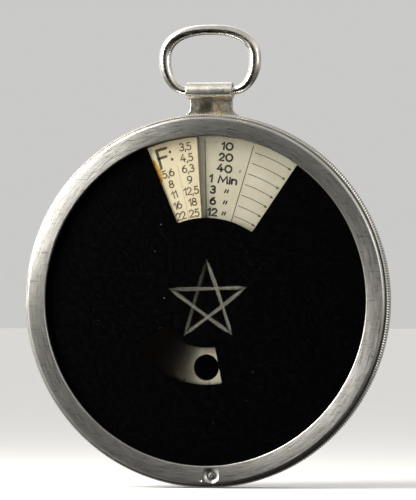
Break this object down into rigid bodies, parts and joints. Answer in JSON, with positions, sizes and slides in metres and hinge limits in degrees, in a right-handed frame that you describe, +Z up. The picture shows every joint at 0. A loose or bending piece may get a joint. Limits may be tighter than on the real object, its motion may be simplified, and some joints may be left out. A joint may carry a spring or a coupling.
{
  "type": "pocket extinction exposure meter",
  "caption": "Round watch-shaped exposure meter: a knurled turning ring with a black wedge face and a scale window over a fixed card of times, a sight hole, and a wire bow in a rolled tab.",
  "frame": {"origin": "centre of the case's flat back, on the axis that the dial ring turns about", "axes": "+Z up towards the bow, -Y out of the face, +Y out of the back, +X to the right as the face is read"},
  "size_m": [0.055, 0.0076, 0.0681],
  "materials": {
    "brushed_nickel": "nickel plate on brass, brushed round the ring, lightly scratched",
    "polished_nickel": "nickel plate on brass, polished, worn to brass in places",
    "steel": "turned",
    "brass": "turned, unplated",
    "blackened_brass": "matt black inside",
    "cream_card": "printed card, yellowed",
    "black_film": "black photographic layer, clear where the wedge starts",
    "clear_glass": "thin flat cover glass",
    "blue_glass": "cobalt blue filter"
  },
  "bodies": {
    "case": {"case_back": "brushed_nickel", "pendant": "polished_nickel", "eyepiece_ring": "polished_nickel", "filter_glass": "blue_glass", "sight_tube": "blackened_brass", "dial_pillar_1": "brass", "dial_pillar_2": "brass", "dial_pillar_3": "brass", "back_screw_1": "steel", "back_screw_2": "steel", "back_screw_3": "steel", "dial_plate": "brass", "time_card": "cream_card", "bearing_ring": "brass", "retaining_wire": "steel", "friction_spring": "steel"},
    "dial_ring": {"grip_ring": "brushed_nickel", "bezel": "brushed_nickel", "bezel_screw": "steel", "cover_glass": "clear_glass", "wedge_film": "black_film", "stops_card": "cream_card", "glass_retainer": "steel"},
    "bow": {"bow": "polished_nickel"}
  },
  "joints": [
    {"name": "dial_turn", "type": "hinge", "parent": "case", "child": "dial_ring", "pos_m": [0, -0.005, 0], "axis": [0, -1, 0], "range_deg": [0, 288]},
    {"name": "bow_swing", "type": "hinge", "parent": "case", "child": "bow", "pos_m": [0, -0.00385, 0.0309], "axis": [1, 0, 0], "range_deg": [-125, 125]}
  ]
}
